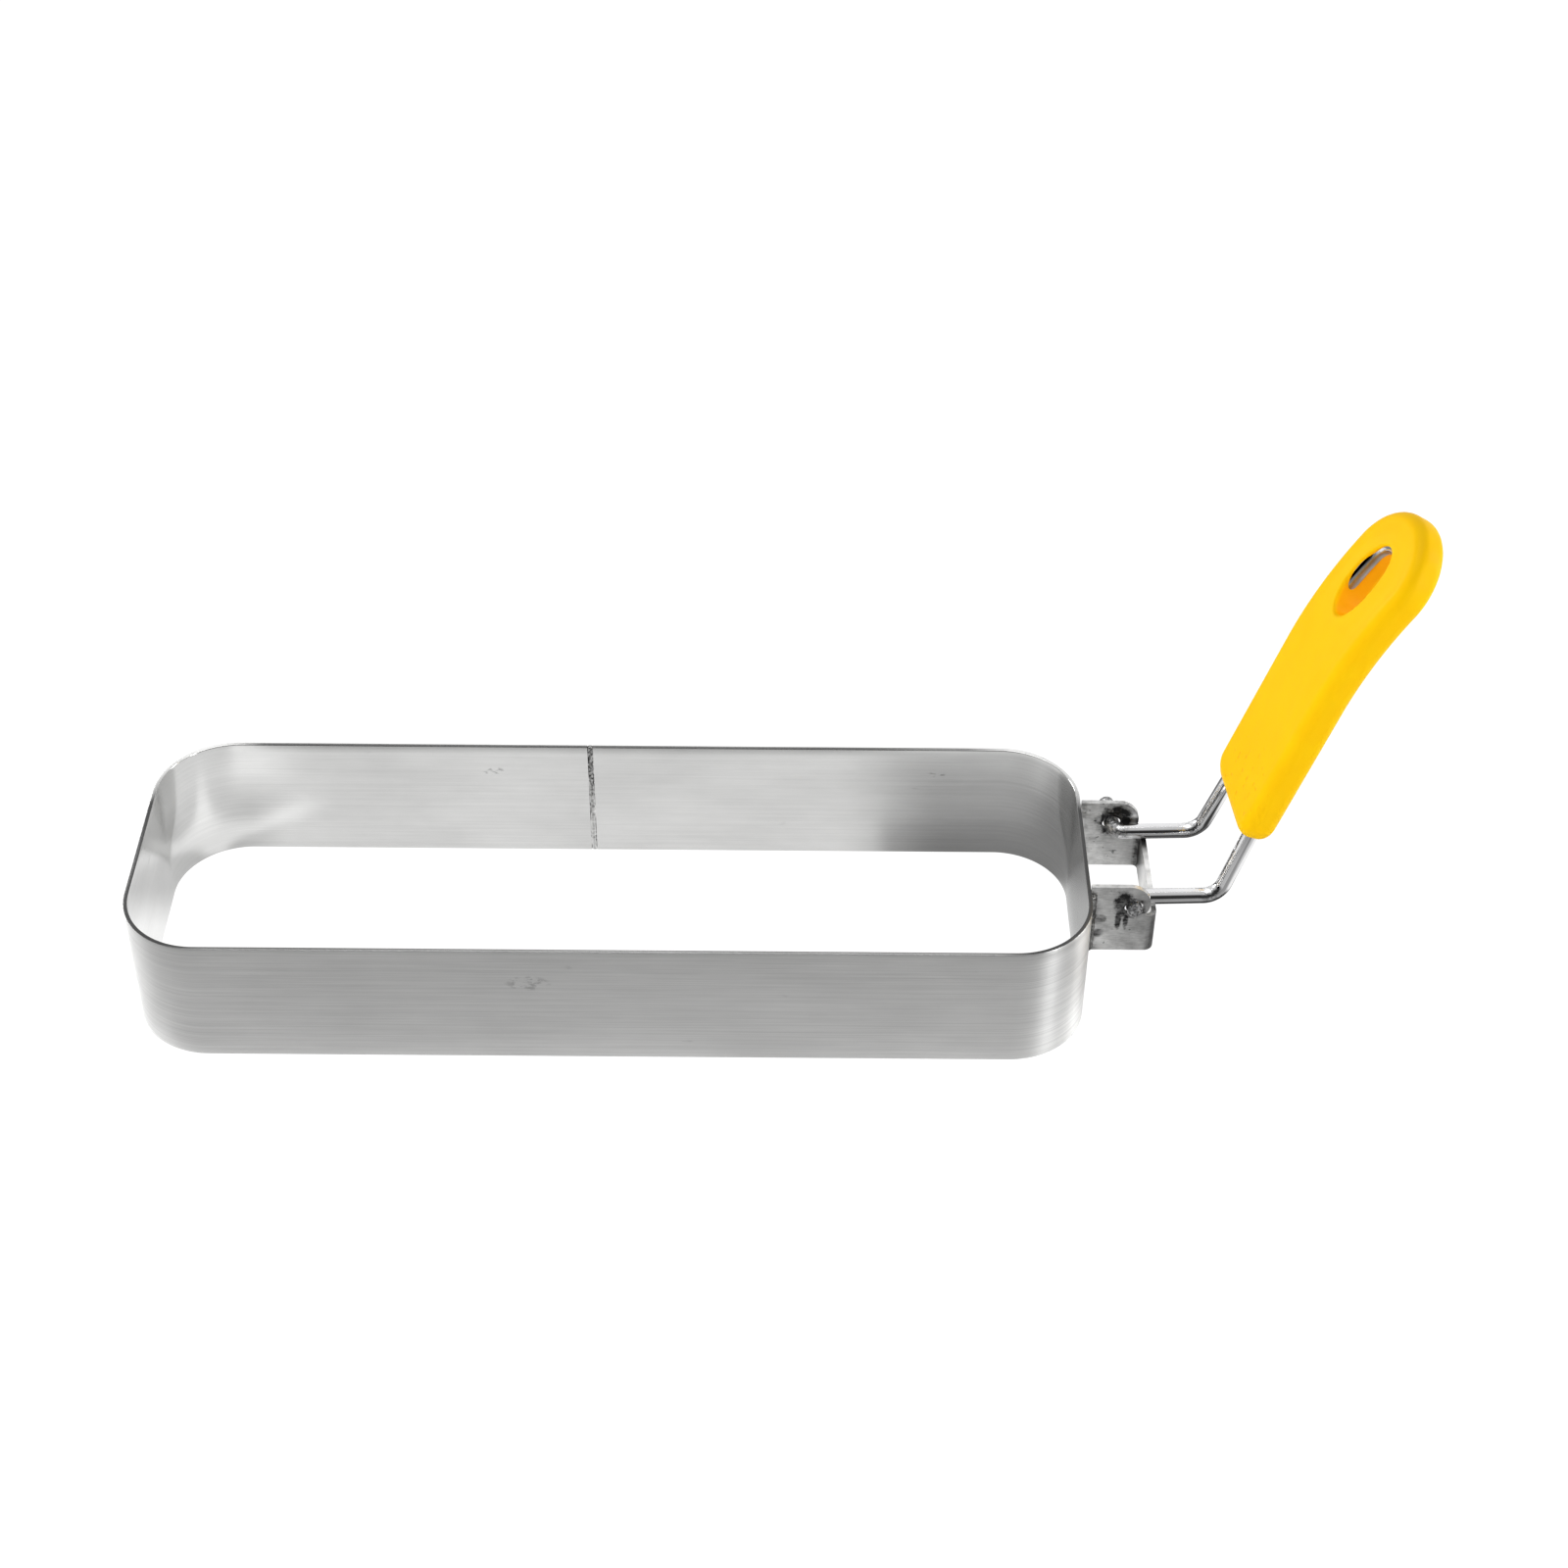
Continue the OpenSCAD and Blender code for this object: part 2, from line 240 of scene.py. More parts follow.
def ring_band():
    """The strip's section carried along its middle line, closed by a face at each end of the strip."""
    place, normal, run = band_line()
    out, height, side = band_profile()
    grid = np.empty((len(run), len(out), 3))
    grid[..., :2] = place[:, None] + normal[:, None] * out[None, :, None]
    grid[..., 2] = height
    tags = {"run": np.repeat(run[:, None] * MM, len(out), 1), "side": np.repeat(side[None], len(run), 0)}
    return make_piece("band", grid, tags=tags, sharp=50)


def seam_bead():
    """The butt seam's bead: an oval section carried up the wall, its width, rise and place rippled unevenly."""
    inset, squareness = 0.05, 0.8
    t = np.linspace(0, 1, 140)
    a = full_circle(28)
    z = inset + (RING_H - 2 * inset) * t
    closing = closed_ends(t, 0.006)
    wide = (SEAM_W / 2 + 0.12 + 0.1 * waves(z, 3, 9, 1.2, 7)) * closing
    deep = (WALL / 2 + 0.6 * SEAM_RISE + 0.35 * SEAM_RISE * waves(z, 5, 9, 1.5, 8)) * closing
    wander = 0.12 * waves(z, 8, 5, 0.15, 0.9)
    across = np.sign(np.cos(a)) * np.abs(np.cos(a)) ** squareness
    grid = np.empty((len(t), len(a), 3))
    grid[..., 0] = SEAM_X + wander[:, None] + wide[:, None] * across
    grid[..., 1] = RING_WID / 2 - WALL / 2 + deep[:, None] * np.sin(a)
    grid[..., 2] = z[:, None]
    return make_piece("seam_bead", grid)


def bracket_bead(name, side):
    """A weld bead in the corner of ear and end wall: a fillet section carried up with uneven scallops."""
    bulge, sunk = 0.82, -0.12
    low_gap, both_gaps = 0.1, 0.3
    t = np.linspace(0, 1, 110)
    a = np.linspace(0, np.pi / 2, 12)
    z = EAR_LOW + low_gap + (RING_H - EAR_LOW - both_gaps) * t
    scallop = 0.1 * np.abs(np.sin(z * 2.4 + 0.6 * waves(z, 12, 4, 0.3, 1)))
    leg = (BRACKET_WELD * 0.86 + scallop + 0.09 * waves(z, 14, 6, 0.5, 4)) * closed_ends(t, 0.04)
    section_x = np.concatenate([np.cos(a) ** (1 / bulge), [sunk]])
    section_y = np.concatenate([np.sin(a) ** (1 / bulge), [sunk]])
    grid = np.empty((len(t), len(section_x), 3))
    grid[..., 0] = WALL / 2 + leg[:, None] * section_x
    grid[..., 1] = side * (EAR_OUTER + leg[:, None] * section_y)
    grid[..., 2] = z[:, None]
    return make_piece(name, grid, sharp=60)


# Handle

def wire_top():
    """Upper end of the wire's +Y leg in grip coordinates.

    Gives the length of the leaning leg, the start and end of the neck, and the eye's radius, tilt and lean.
    The backward bend lies so that the eye is EYE_OFF in front of the grip's middle, and the eye is the circle
    that both necks touch.
    """
    bend_start = CURVE_START + (CURVE_R - WIRE_BEND_R) * np.tan(CURVE_TURN / 2) + EYE_OFF / CURVE_SIN
    lean_len = bend_start / np.cos(LEG_LEAN)
    reach, fall = WIRE_BEND_R * CURVE_SIN, WIRE_BEND_R * (1 - CURVE_COS)
    neck_start = LEG_FOOT + (lean_len + reach) * LEAN_WAY + fall * BACKWARDS
    neck_end = neck_start + NECK * (CURVE_COS * LEAN_WAY + CURVE_SIN * BACKWARDS)
    ahead = CURVE_COS * np.cos(LEG_LEAN)
    eye_tilt = np.arctan2(CURVE_SIN, ahead)
    eye_lean = np.arctan2(CURVE_COS * np.sin(LEG_LEAN), np.hypot(ahead, CURVE_SIN))
    eye_r = neck_end[1] / np.cos(eye_lean)
    return lean_len, neck_start, neck_end, eye_r, eye_tilt, eye_lean


def eye_sizes():
    """Radius of the hang hole and the developed place of the eye's centre along the grip."""
    _, _, neck_end, eye_r, _, eye_lean = wire_top()
    head_x = CURVE_START + CURVE_R * CURVE_SIN
    head_z = -CURVE_R * (1 - CURVE_COS)
    along = (neck_end[0] - head_x) * CURVE_COS - (neck_end[2] - head_z) * CURVE_SIN
    hang_r = eye_r - WIRE_R + (WIRE_BARE - HANG_COVER) / 2
    return hang_r, CURVE_START + CURVE_LEN + along - eye_r * np.sin(eye_lean)


HANG_R, EYE_S = eye_sizes()


def wire_side(end_out):
    """Centre line of half the wire on the +Y side, in leg coordinates, and each point's nearness to the bend.

    A pin through the ear, a quarter-circle elbow, a leg, a bend up that also leans inwards, a leaning leg,
    a slow backward bend, a short neck and half of the eye's arc.
    """
    lean_len, neck_start, neck_end, eye_r, eye_tilt, eye_lean = wire_top()
    turn = np.arccos(np.cos(RISE) * np.cos(LEG_LEAN))
    roll = np.arctan2(np.sin(LEG_LEAN), np.sin(RISE) * np.cos(LEG_LEAN))
    tangent = CORNER_BEND_R * np.tan(turn / 2)
    elbow_start = [0, LEG_Y + ELBOW_R, 0]
    corner_start = [LEG_LEN - tangent, LEG_Y, 0]
    leg_end = LEG_FOOT + lean_len * LEAN_WAY

    pin = line([0, EAR_OUTER + end_out, 0], elbow_start, 10)
    elbow = arc(elbow_start, [0, -1, 0], [1, 0, 0], ELBOW_R, np.pi / 2, 18)
    leg = line([ELBOW_R, LEG_Y, 0], corner_start, 16)
    corner = arc(corner_start, [1, 0, 0], [0, -np.sin(roll), np.cos(roll)], CORNER_BEND_R, turn, 26)
    rising = line(LEG_FOOT + tangent * LEAN_WAY, leg_end, 60)
    back = arc(leg_end, LEAN_WAY, BACKWARDS, WIRE_BEND_R, CURVE_TURN, 16)
    neck = line(neck_start, neck_end, 2)
    a = np.linspace(np.pi / 2 - eye_lean, 0, 30)
    eye = np.stack([eye_r * (np.cos(a) - np.sin(eye_lean)), eye_r * np.sin(a), 0 * a], -1)
    eye = turned_y(eye, eye_tilt) + np.array([neck_end[0], 0, neck_end[2]])
    upper = from_rise(np.concatenate([rising, back, neck, eye]))
    centre = np.concatenate([pin, elbow, leg, corner, upper])

    jaw_at, jaw_reach = len(pin) + len(elbow) + len(leg) + 8, 2.3
    distance = run_lengths(centre)
    return centre, np.exp(-((distance - distance[jaw_at]) / jaw_reach) ** 2)


def handle_wire():
    """A round section carried along the bent wire from one cut end to the other.

    The section's frame comes from the tangent and one fixed slanting direction that no part of the wire follows.
    At each cut end the radius closes over a worn edge and a shallow dimple.
    """
    rear, rear_bend = wire_side(REAR_END)
    front, front_bend = wire_side(FRONT_END)
    centre = np.concatenate([rear, front[-2::-1] * np.array([1, -1, 1])])
    bend = np.concatenate([rear_bend, front_bend[-2::-1]])
    run = run_lengths(centre)
    tangent = np.gradient(centre, run, axis=0)
    tangent /= np.linalg.norm(tangent, axis=1, keepdims=True)
    slant = np.array([0.62, 0.5, -0.6])
    across = np.cross(tangent, slant)
    across /= np.linalg.norm(across, axis=1, keepdims=True)
    third = np.cross(tangent, across)
    a = full_circle(28)
    ring = across[:, None] * np.cos(a)[None, :, None] + third[:, None] * np.sin(a)[None, :, None]

    hub_r = 0.01
    end_r = np.maximum(WIRE_R * np.array([0, 0.3, 0.52, 0.7, 0.86, 0.96]), hub_r)[:, None, None]
    recess = np.array([0.34, 0.3, 0.12, 0.02, 0.05, 0.24])[:, None, None]
    first = centre[0] + recess * tangent[0] + ring[0][None] * end_r
    last = centre[-1] - recess * tangent[-1] + ring[-1][None] * end_r
    body = centre[1:-1, None] + ring[1:-1] * WIRE_R
    grid = np.concatenate([first, body, last[::-1]])

    # Worn cut ends, and painted shade on the elbows beside the ears, by distance from each ear
    darkened_reach, darkened_fade = 6.5, 3.0
    past_ear = np.minimum(run - REAR_END, run[-1] - run - FRONT_END)
    worn_end_and_shade = np.clip((darkened_reach - past_ear) / darkened_fade, 0, 1)

    def over_grid(values, at_ends):
        ends = np.full(len(end_r), at_ends)
        return np.repeat(np.concatenate([ends, values[1:-1], ends])[:, None], len(a), 1)

    tags = {"bend": over_grid(bend, 0.0), "worn_end_and_shade": over_grid(worn_end_and_shade, 1.0)}
    return make_piece("wire", from_leg(grid), tags=tags, sharp=70)


def paddle_outline(count):
    """Plan of the grip: place along it and across it, and the outward normal, from the tip round and back.

    A half circle at the head, straight sides, and a straight lower end with two quarter-circle corners.
    """
    head = CURVE_START + CURVE_LEN + NECK
    half = GRIP_W / 2
    r = GRIP_END_R
    head_stop, side_stop, corner_stop, total = np.cumsum([
        half * np.pi / 2, head - GRIP_START - r, r * np.pi / 2, half - r])
    d = (np.arange(count) + 0.5) * 2 * total / count
    mirror = np.where(d > total, -1.0, 1.0)
    d = np.where(d > total, 2 * total - d, d)
    on = [d < head_stop, d < side_stop, d < corner_stop]
    head_angle = d / half
    corner_angle = np.clip((d - side_stop) / r, 0, np.pi / 2)
    s = np.select(on, [
        head + half * np.cos(head_angle),
        head - (d - head_stop),
        GRIP_START + r - r * np.sin(corner_angle),
    ], GRIP_START)
    u = np.select(on, [
        half * np.sin(head_angle),
        np.full(count, half),
        half - r + r * np.cos(corner_angle),
    ], half - r - (d - corner_stop))
    ns = np.select(on, [np.cos(head_angle), 0 * d, -np.sin(corner_angle)], -1.0)
    nu = np.select(on, [np.sin(head_angle), 1 + 0 * d, np.cos(corner_angle)], 0.0)
    return np.stack([s, u * mirror], -1), np.stack([ns, nu * mirror], -1)


def hole_outline(outer):
    """Plan of the hang hole met by lines from its middle to the paddle's outline, and the normal away from it.

    A slightly turned oval, moved up and to the rear, where it bares the wire's eye. Its upper end is that of the
    solid's oblong hole and its lower end reaches further down.
    """
    moved = (WIRE_BARE + HANG_COVER) / 2
    half = np.array([HANG_LEN / 2 + MOUTH_LOWER / 2, HANG_R])
    middle = np.array([EYE_S + moved + HANG_R - half[0], moved])
    c, s = np.cos(MOUTH_TURN), np.sin(MOUTH_TURN)
    turn = np.array([[c, -s], [s, c]])
    ray = (outer - middle) @ turn.T
    place = ray / np.linalg.norm(ray / half, axis=1, keepdims=True)
    normal = place / half ** 2
    return middle + place @ turn, normal @ turn / np.linalg.norm(normal, axis=1, keepdims=True)


def bent(s, u, n):
    """Developed grip coordinates, along, across and out of the front face, bent backwards and placed.

    Straight up to the curve, round an arc whose centre lies behind, then straight at the arc's final angle.
    """
    a = np.clip((s - CURVE_START) / CURVE_R, 0, CURVE_TURN)
    before = np.minimum(s - CURVE_START, 0)
    after = np.maximum(s - CURVE_START - CURVE_LEN, 0)
    x = CURVE_START + before + (CURVE_R + n) * np.sin(a) + after * np.cos(a)
    z = -CURVE_R + (CURVE_R + n) * np.cos(a) - after * np.sin(a)
    return from_leg(from_rise(np.stack([x, u, z], -1)))


def grip():
    """The moulded grip: a closed section carried round the hang hole and the paddle's outline at once.

    From the hole's wall over a round rim, across the front face, round the outer edge, down the side,
    across the back face and over the back rim to the wall again; then bent backwards.
    """
    count, edge_steps, face_steps, wall_steps = 420, 9, 46, 10
    rim_far, rim_near, rim_back = 0.6, 1.4, 0.5
    outer, outer_n = paddle_outline(count)
    inner, inner_n = hole_outline(outer)
    flat = GRIP_T / 2 - FACE_CROWN
    near = np.clip(-inner_n[:, 1], 0, 1)[:, None]
    rim_front_r, rim_back_r = rim_far + (rim_near - rim_far) * near, np.full((count, 1), rim_back)
    lower = np.clip(-outer_n[:, 0], 0, 1)[:, None] ** 2
    edge_front = GRIP_EDGE_R + (END_ROUND - GRIP_EDGE_R) * lower
    edge_back = np.full_like(edge_front, GRIP_EDGE_R)
    q = np.radians(np.linspace(0, 90, edge_steps))
    t = np.linspace(0, 1, face_steps)[1:-1] ** 1.25

    def across_face(rim, edge, sign):
        start = inner[:, None] + inner_n[:, None] * rim[..., None]
        end = outer[:, None] - outer_n[:, None] * edge[..., None]
        place = start * (1 - t[None, :, None]) + end * t[None, :, None]
        crown = FACE_CROWN * np.sin(np.pi * t) ** 2
        return place, np.repeat(sign * (flat + crown)[None], count, 0)

    def over_rim(rim, sign):
        away = rim * (1 - np.cos(q))[None]
        place = inner[:, None] + inner_n[:, None] * away[..., None]
        return place, sign * (flat - rim + rim * np.sin(q)[None])

    def over_edge(edge, sign):
        inwards = edge * (1 - np.sin(q))[None]
        place = outer[:, None] - outer_n[:, None] * inwards[..., None]
        return place, sign * (flat - edge + edge * np.cos(q)[None])

    up = np.linspace(0, 1, wall_steps)[None, 1:-1]
    wall_n = -(flat - rim_back_r) * (1 - up) + (flat - rim_front_r) * up
    wall = np.repeat(inner[:, None], wall_n.shape[1], 1), wall_n
    front = [over_rim(rim_front_r, 1), across_face(rim_front_r, edge_front, 1), over_edge(edge_front, 1)]
    back = [over_edge(edge_back, -1), across_face(rim_back_r, edge_back, -1), over_rim(rim_back_r, -1)]
    order = [wall, *front, *((p[:, ::-1], n[:, ::-1]) for p, n in back)]
    plan = np.concatenate([p for p, _ in order], 1)
    n = np.concatenate([v for _, v in order], 1)
    # Points of the hang hole's wall, which take painted shade
    bore_shade = np.zeros(n.shape)
    bore_shade[:, :wall_n.shape[1]] = 1.0
    tags = {"along": plan[..., 0] * MM, "front": n * MM, "bore_shade": bore_shade}
    return make_piece("grip_moulding", bent(plan[..., 0], plan[..., 1], n), wrap_rows=True, tags=tags, sharp=60)


# Shaders

# Sockets that are told by number: outputs of Texture Coordinate, Light Path and Attribute, and a colour Mix
GENERATED, NORMAL, OBJECT = 0, 1, 3
CAMERA_RAY, GLOSSY_RAY = 0, 3
TAG_VALUE = 2
MIX_SHARE, MIX_LOW, MIX_HIGH, MIX_COLOUR = 0, 6, 7, 2


class Val:
    """A shader socket. Arithmetic on it adds Math nodes, and node() adds any other node to its tree."""

    def __init__(self, tree, socket=None):
        self.tree = tree
        self.socket = socket

    def node(self, kind, settings=None, sockets=None, out=0):
        """A new node of a kind: its settings first, then its sockets' values or links; gives one output."""
        new = self.tree.nodes.new(kind)
        for key, value in (settings or {}).items():
            setattr(new, key, value)
        for key, value in (sockets or {}).items():
            if isinstance(value, Val):
                self.tree.links.new(value.socket, new.inputs[key])
            else:
                new.inputs[key].default_value = value
        return Val(self.tree, new.outputs[out])

    def math(self, operation, *others):
        values = dict(enumerate((self,) + others))
        return self.node("ShaderNodeMath", {"operation": operation}, values)

    def __add__(self, other):
        return self.math("ADD", other)

    __radd__ = __add__

    def __mul__(self, other):
        return self.math("MULTIPLY", other)

    __rmul__ = __mul__

    def __sub__(self, other):
        return self.math("SUBTRACT", other)

    def __rsub__(self, other):
        return self.math("MULTIPLY", -1.0).math("ADD", other)

    def __truediv__(self, other):
        return self.math("DIVIDE", other)

    def __pow__(self, other):
        return self.math("POWER", other)

    def larger(self, other):
        return self.math("MAXIMUM", other)

    def size(self):
        return self.math("ABSOLUTE")

    def clamp(self):
        return self.node("ShaderNodeClamp", None, {"Value": self})

    def step(self, low, high):
        """0 below low, 1 above high, smooth between."""
        sockets = {"Value": self, "From Min": low, "From Max": high}
        return self.node("ShaderNodeMapRange", {"interpolation_type": "SMOOTHSTEP"}, sockets)

    def within(self, rise_from, rise_to, fall_from, fall_to):
        """1 between two smooth edges, 0 outside them."""
        return self.step(rise_from, rise_to) * (1 - self.step(fall_from, fall_to))

    def bump(self, strength, distance):
        return self.node("ShaderNodeBump", None, {"Height": self, "Strength": strength, "Distance": distance})


def material(name):
    """An empty node material and the start of its tree."""
    made = bpy.data.materials.new(name)
    made.use_nodes = True
    made.node_tree.nodes.clear()
    return made, Val(made.node_tree)


def surface(start, shader, kind="ShaderNodeOutputMaterial"):
    """Links a shader to the output of its material or world."""
    output = start.tree.nodes.new(kind)
    start.tree.links.new(shader.socket, output.inputs["Surface"])


def principled(start, colour, rough, normal, fixed):
    """A surface from its varying colour, roughness and normal, and the values that are the same all over it."""
    sockets = {"Base Color": colour, "Roughness": rough, "Normal": normal, **fixed}
    surface(start, start.node("ShaderNodeBsdfPrincipled", None, sockets))


def coordinates(start, out=OBJECT):
    """One of the Texture Coordinate node's vectors."""
    return start.node("ShaderNodeTexCoord", out=out)


def split(vector):
    """X, Y and Z of a vector."""
    return [vector.node("ShaderNodeSeparateXYZ", None, {"Vector": vector}, axis) for axis in range(3)]


def rays(start):
    """1 for rays from the camera, and 1 for rays that a glossy surface mirrors."""
    return [start.node("ShaderNodeLightPath", out=kind) for kind in (CAMERA_RAY, GLOSSY_RAY)]


def tag(start, name):
    """A value stored on the piece's own points."""
    return start.node("ShaderNodeAttribute", {"attribute_name": name}, None, TAG_VALUE)


def noise(start, vector, scale, detail=2.0, rough=0.5):
    """Noise about 0.5 at a scale in turns per metre."""
    sockets = {"Vector": vector, "Scale": scale, "Detail": detail, "Roughness": rough}
    return start.node("ShaderNodeTexNoise", None, sockets)


def streaks(start, x, y, z, detail, rough=0.6):
    """Noise of three values that are already in turns, so that it stretches where a value runs slowly."""
    vector = start.node("ShaderNodeCombineXYZ", None, {"X": x, "Y": y, "Z": z})
    return noise(start, vector, 1.0, detail, rough)


def blend(start, value, low, high):
    """A colour between two colours by a value from 0 to 1; a single number stands for a grey."""
    low, high = ((*np.broadcast_to(colour, 3).tolist(), 1) for colour in (low, high))
    sockets = {MIX_SHARE: value, MIX_LOW: low, MIX_HIGH: high}
    return start.node("ShaderNodeMix", {"data_type": "RGBA"}, sockets, MIX_COLOUR)


def oval_off(x, z, mid_x, mid_z, half_x, half_z):
    """Square of the distance from an upright oval's middle, 1 on the oval; its sizes are in millimetres."""
    across, up = (x - mid_x * MM) / (half_x * MM), (z - mid_z * MM) / (half_z * MM)
    return across * across + up * up


def band_steel():
    """Brushed stainless strip: fine lines along the strip, scuffs, soft clouds and three scratched spots.

    The inside is smoother than the outside, and its colour is a little darker as painted shade inside the ring.
    The cut edge carries painted shade, darkest round the near ends and faint round the far corners, where it
    stays bright, and a band of painted shade lines the inside of the far wall's top.
    """
    made, start = material("band_steel")
    x, y, z = split(coordinates(start))
    run, side = tag(start, "run"), tag(start, "side")
    outside = side.step(-0.9, 0.9)
    edge = 1 - (side * side).step(0.55, 0.98)
    far = y.step(-0.001, 0.001)
    lines = streaks(start, run * 7.0, z * 1100.0, side * 3.0, 3.0)
    hair = streaks(start, run * 30.0, z * 3600.0, side * 5.0, 2.0)
    cloud = streaks(start, run * 30.0, z * 70.0, side, 3.0, 0.55)
    scuff = streaks(start, run * 90.0, z * 260.0, side * 2.0, 4.0).step(0.68, 0.82)
    scratch = streaks(start, x * 400.0, 0.0, z * 900.0, 3.0).step(0.48, 0.6)

    def spot(*oval):
        return 1 - oval_off(x, z, *oval).step(0.3, 1.0)

    far_spots = spot(-146, 26, 3.2, 1.6) + spot(-34, 26, 2.6, 1.0)
    marks = scratch * (far * far_spots + (1 - far) * spot(-132, 24, 6.0, 2.6))
    # Painted shade on the cut edge, darkest round the near ends; painted light lifts it round the far corners
    near_end_shade = (1 - y.step(0.01, 0.02)) * (1 - x.step(-0.222, -0.205) + x.step(-0.024, -0.008))
    far_corner_light = y.step(0.012, 0.026) * (1 - x.step(-0.216, -0.202) + x.step(-0.028, -0.014))
    rim = edge * (0.5 + 0.4 * near_end_shade - 0.45 * far_corner_light)
    # Painted shade band along the inside of the far wall's top
    far_top_shade = z.step(0.0312, 0.0338) * (1 - outside) * far * x.within(-0.21, -0.2, -0.06, -0.03)
    brushed = (0.34 * (lines - 0.5) + 0.34 * (hair - 0.5)) * (0.35 + 0.65 * outside)
    # The inside's lower colour than the outside's is painted shade inside the ring
    steel = 0.62 + 0.17 * outside + 0.24 * (cloud - 0.5) - 0.18 * scuff - 0.25 * marks - 0.22 * far_top_shade
    colour = blend(start, (steel + brushed - rim).clamp(), 0.08, (0.98, 0.98, 0.97))
    rough = (0.17 + 0.25 * outside + 0.12 * (lines - 0.5) + 0.1 * scuff + 0.1 * edge).clamp()
    normal = (lines * 0.5 + hair).bump(0.12 + 0.16 * outside, 0.00006)
    principled(start, colour, rough, normal, {"Metallic": 1.0, "Anisotropic": 0.85, "Anisotropic Rotation": 0.25})
    return made


def bracket_steel():
    """Satin strap metal with scuffs, dark specks, heat marks by the welds and painted shade round the wire.

    The painted shade is an oval on the rear ear. On the front ear it is an upright patch beside the wire, with
    two tails below it, and two small dark spots join it. The rear bend of the strap has painted shade and the
    strap between the ears a painted highlight.
    """
    made, start = material("bracket_steel")
    place = coordinates(start)
    x, y, z = split(place)
    cloud = noise(start, place, 240.0, 4.0, 0.6)
    grain = streaks(start, x * 500.0, y * 500.0, z * 2400.0, 2.0)
    speck = noise(start, place, 700.0, 1.0).step(0.7, 0.78)
    heat = (1 - x.step(0.0005, 0.005)) * noise(start, place, 330.0, 3.0).step(0.45, 0.62)
    ragged = noise(start, place, 620.0, 4.0, 0.7) - 0.5

    def dark_patch(*oval):
        return 1 - (oval_off(x, z, *oval) ** 0.5 + 1.1 * ragged).step(0.65, 1.2)

    rear = y.step(-0.001, 0.001)
    # Painted shade round the wire at the ear holes: an upright patch with two tails on the front ear
    patch = dark_patch(8.4, 30.2, 2.3, 4.4).larger(dark_patch(10.96, 29.1, 2.8, 3.1))
    runs = dark_patch(7.4, 25.6, 0.8, 3.4).larger(dark_patch(9.2, 25.2, 0.7, 2.8))
    spots = dark_patch(3.4, 25.8, 1.2, 1.3).larger(dark_patch(2.7, 21.2, 1.8, 1.2))
    front_shade_and_spots = (0.85 * patch).larger(0.8 * runs).larger(0.5 * spots)
    # scale is the painted shade round the wire, with the front ear's two small dark spots
    scale = rear * dark_patch(9.1, 30.3, 4.4, 4.9) + (1 - rear) * front_shade_and_spots
    # Painted shade in the rear bend of the strap and a painted highlight on the strap between the ears
    fold_shade = x.step(0.0138, 0.0148) * y.step(0.006, 0.012)
    web_highlight = x.step(0.0145, 0.0155) * y.within(-0.013, -0.012, 0.002, 0.008)
    steel = 0.6 + 0.25 * web_highlight - 0.5 * fold_shade + 0.8 * (cloud - 0.5) + 0.5 * (grain - 0.5)
    tone = (steel - 0.4 * speck - 0.3 * heat - scale * (0.62 - 1.1 * ragged)).clamp()
    colour = blend(start, tone, 0.03, (0.9, 0.9, 0.89))
    rough = (0.34 + 0.2 * (cloud - 0.5) + 0.2 * heat + 0.15 * scale).clamp()
    normal = (cloud + 0.6 * grain + 1.5 * scale * ragged).bump(0.3, 0.0001)
    principled(start, colour, rough, normal, {"Metallic": 1.0})
    return made


def weld_steel():
    """Rough weld metal: dark scale with brighter ground spots."""
    made, start = material("weld_steel")
    place = coordinates(start)
    x, y, z = split(place)
    lump = noise(start, place, 1300.0, 4.0, 0.65)
    spot = streaks(start, x * 900.0, y * 900.0, z * 360.0, 3.0, 0.5).step(0.5, 0.68)
    tone = (spot * 0.8 + 0.25 * lump).clamp()
    colour = blend(start, tone, (0.055, 0.054, 0.052), (0.42, 0.42, 0.41))
    principled(start, colour, (0.55 - 0.2 * spot).clamp(), lump.bump(0.7, 0.0002), {"Metallic": 0.85})
    return made


def seam_steel():
    """Butt seam: a ragged burnt line, broad and dark in its upper half and mostly ground bright below."""
    made, start = material("seam_steel")
    place = coordinates(start)
    x, _, z = split(place)
    lump = noise(start, place, 1300.0, 4.0, 0.65)
    wander = streaks(start, 0.0, 0.0, z * 640.0, 4.0, 0.7)
    off = (x - SEAM_X * MM + 0.0013 * (wander - 0.5)).size()
    upper = z.step(0.004, 0.03)
    burnt = (1 - (off - 0.00035 * upper).step(0.0001, 0.0005)) * (0.35 + 0.65 * upper)
    tone = (0.7 - burnt * (0.46 - 2.8 * (lump - 0.5)) + 0.5 * (wander - 0.5)).clamp()
    colour = blend(start, tone, 0.04, (0.92, 0.92, 0.91))
    principled(start, colour, (0.3 + 0.25 * burnt).clamp(), lump.bump(0.5, 0.0002), {"Metallic": 1.0})
    return made


